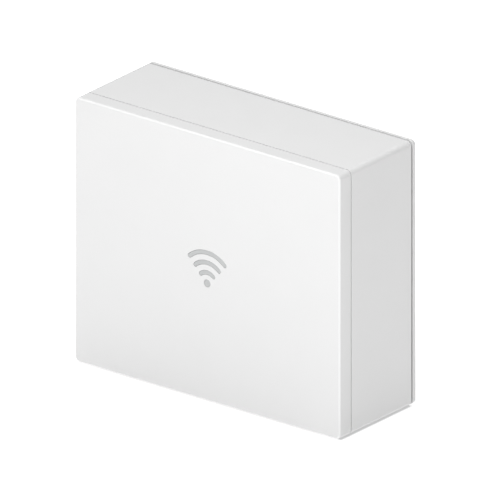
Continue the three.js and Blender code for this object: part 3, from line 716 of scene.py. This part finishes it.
def network_fingers():
    comb = bpy.data.curves.new("network_fingers", "CURVE")
    comb.dimensions, comb.bevel_depth, comb.use_fill_caps = "3D", 0.2 * MM, True
    comb.bevel_resolution = 3
    # Each finger runs out along the roof, turns, and slopes back into the cavity.
    route = [(-4.6, 2.9), (1.9, 2.9), (2.35, 2.8), (2.5, 2.5), (2.3, 2.2)]
    route += [(-2.6, 0.1), (-3.4, -0.1)]
    for dx in row(8, 1.1):
        finger = comb.splines.new("POLY")
        finger.points.add(len(route) - 1)
        for point, (y, z) in zip(finger.points, route):
            point.co = ((NETWORK_X + dx) * MM, y * MM, (PORT_Z + z) * MM, 1)
    curve = show(bpy.data.objects.new("network_fingers", comb))
    mesh = evaluated_mesh(curve)
    bpy.data.objects.remove(curve)
    bpy.data.curves.remove(comb)
    piece = show(bpy.data.objects.new("network_fingers", mesh))
    polish(piece, gold, 0, nodes=["network_socket_contacts"])


def usb_socket():
    sleeve_of_sheet("usb_sleeve", USB_X, USB_SIZE, BAY_FLOOR + 0.5, 0.9, "usb_socket_shell")
    block = box_at(USB_X, PORT_Z, 12.2, 4.9, BOARD_BACK, -5.5, 0.5)
    piece = as_object("usb_blade", loft(block))
    add(piece, box_at(USB_X, PORT_Z + 1.2, 11, 1.8, -6, BAY_FLOOR - 0.6, 0.3))
    polish(piece, black, 0.1, nodes=["usb_socket_tongue"])
    strips = [
        box_at(USB_X + dx, PORT_Z + 0.27, 1.1, 0.12, -5, BAY_FLOOR - 1.4, 0.04)
        for dx in (-3.5, -1.0, 1.0, 3.5)
    ]
    piece = as_object("usb_contact_strips", loft(*strips))
    polish(piece, gold, 0)


def power_socket():
    block = box_at(POWER_X, PORT_Z, *POWER_SIZE, BOARD_BACK, BAY_FLOOR, 0.4)
    piece = as_object("power_inlet", loft(block))
    bore, mouth, place = 3.1, BAY_FLOOR, (POWER_X, 0, PORT_Z)
    well = [(0, -5), (bore, -5), (bore, mouth - 0.5), (bore + 0.6, mouth + 0.1)]
    well += [(bore + 0.6, mouth + 1), (0, mouth + 1)]
    combine(piece, "DIFFERENCE", turned(well, place, "Y"))
    polish(piece, black, 0.1, nodes=["power_socket"])
    pin = [(0, -4.95), (1, -4.95), (1, 3), (0.93, 3.25), (0.75, 3.45), (0.45, 3.57), (0, 3.6)]
    piece = as_object("power_inlet_pin", turned(pin, place, "Y", 32))
    polish(piece, steel, 0, nodes=["power_socket_pin"])


for make in (
    front_cover,
    main_housing,
    wall_bracket,
    feet,
    light_guide,
    pair_button,
    switch_knob,
    network_socket,
    network_fingers,
    usb_socket,
    power_socket,
):
    make()
for name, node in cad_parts.items():
    if name not in replaced:
        dress(node)

# ---------------------------------------------------------------- studio

FLOOR_HALF, FLOOR_DROP = 1.5, 0.02 * MM
SHADE_IN_X, SHADE_IN_FRONT, SHADE_IN_BACK = 0.6 * MM, 1.6 * MM, 1.5 * MM
SHADE_EDGE = 0.4 * MM

floor_mesh = bpy.data.meshes.new("floor")
floor_mesh.from_pydata(
    [(x * FLOOR_HALF, y * FLOOR_HALF, 0) for x, y in ((-1, -1), (1, -1), (1, 1), (-1, 1))],
    [],
    [(0, 1, 2, 3)],
)
floor = show(bpy.data.objects.new("floor", floor_mesh))
floor.location.z = -FLOOR_DROP
floor_look = Nodes("floor_white")
floor_place = floor_look.add("ShaderNodeSeparateXYZ", {0: floor_look.place}).outputs


def beyond(side, low, high):
    """0.5 inside a range of one floor coordinate, and 1 outside it: the mask of a painted shade under
    the hub.
    """
    half, centre = (high - low) / 2, (high + low) / 2
    from_centre = floor_look.math("SUBTRACT", floor_place[side], centre)
    off = floor_look.math("ABSOLUTE", from_centre)
    return floor_look.span(off, 0.5, 1, (half - SHADE_EDGE, half))


# The floor glows, brighter away from the hub and at half strength under it: a painted shade round and
# under the hub.
distance = floor_look.add("ShaderNodeVectorMath", {"Vector": floor_look.place}, operation="LENGTH")
glow = floor_look.span(distance.outputs["Value"], 0.63, 0.95, (0.045, 0.12))
clear_of_hub = floor_look.math(
    "MAXIMUM",
    beyond("X", cad_low.x + SHADE_IN_X, cad_high.x - SHADE_IN_X),
    beyond("Y", cad_low.y + SHADE_IN_FRONT, cad_high.y - SHADE_IN_BACK),
)
glow = floor_look.math("MULTIPLY", glow, clear_of_hub)
floor_look.set(Base_Color=(0.5, 0.5, 0.5, 1), Roughness=0.9)
floor_look.set(Emission_Color=(1, 1, 1, 1), Emission_Strength=glow)
floor_mesh.materials.append(floor_look.material)


def lamp(name, place, aim, side, power):
    """A soft square light."""
    data = bpy.data.lights.new(name, "AREA")
    data.shape = "SQUARE"
    data.size = side
    data.energy = power
    obj = show(bpy.data.objects.new(name, data))
    obj.location = place
    obj.rotation_euler = (Vector(aim) - Vector(place)).to_track_quat("-Z", "Y").to_euler()


lamp("key", place=(0.14, -0.36, 0.42), aim=(0, -0.02, 0.08), side=0.16, power=1.0)
lamp("overhead", place=(-0.1, 0.05, 0.8), aim=(0, 0, 0), side=0.5, power=2.2)

# The sky is dimmer towards both sides and a little brighter overhead.
SKY_LEVEL, SKY_SIDES, SKY_OVERHEAD = 0.73, -0.66, 0.095
world = bpy.data.worlds.new("studio")
world.use_nodes = True
sky = world.node_tree
away = sky.nodes.new("ShaderNodeTexCoord")
split = sky.nodes.new("ShaderNodeSeparateXYZ")
feed(sky, split.inputs[0], away.outputs["Generated"])
off_centre = math_node(sky, "ABSOLUTE", split.outputs["X"])
across = math_node(sky, "MULTIPLY_ADD", off_centre, SKY_SIDES, SKY_LEVEL)
height = math_node(sky, "MULTIPLY", split.outputs["Z"], split.outputs["Z"])
strength = math_node(sky, "MULTIPLY_ADD", height, SKY_OVERHEAD, across)
feed(sky, sky.nodes["Background"].inputs["Strength"], strength)
feed(sky, sky.nodes["Background"].inputs["Color"], (1, 1, 1, 1))
bpy.context.scene.world = world
bpy.context.scene.view_settings.view_transform = "Standard"

# ---------------------------------------------------------------- camera

AZIMUTH, ELEVATION = math.radians(38.3), math.radians(22.35)
VIEW_WIDTH, AIM_RIGHT, AIM_UP = 177.5 * MM, 1.596 * MM, 0.054 * MM
CAMERA_DISTANCE = 0.8
back = Vector(
    (
        math.sin(AZIMUTH) * math.cos(ELEVATION),
        -math.cos(AZIMUTH) * math.cos(ELEVATION),
        math.sin(ELEVATION),
    )
)
turn = (-back).to_track_quat("-Z", "Y")
right, up = turn @ Vector((1, 0, 0)), turn @ Vector((0, 1, 0))
housing_low, housing_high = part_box("main_housing")
middle = Vector((0, 0, (housing_low.z + housing_high.z) / 2))
aim = middle + right * AIM_RIGHT + up * AIM_UP
camera_data = bpy.data.cameras.new("camera")
camera_data.type = "ORTHO"
camera_data.ortho_scale = VIEW_WIDTH
camera_data.clip_start, camera_data.clip_end = 0.01, 10
camera = show(bpy.data.objects.new("camera", camera_data))
camera.location = aim + back * CAMERA_DISTANCE
camera.rotation_mode = "QUATERNION"
camera.rotation_quaternion = turn
bpy.context.scene.camera = camera
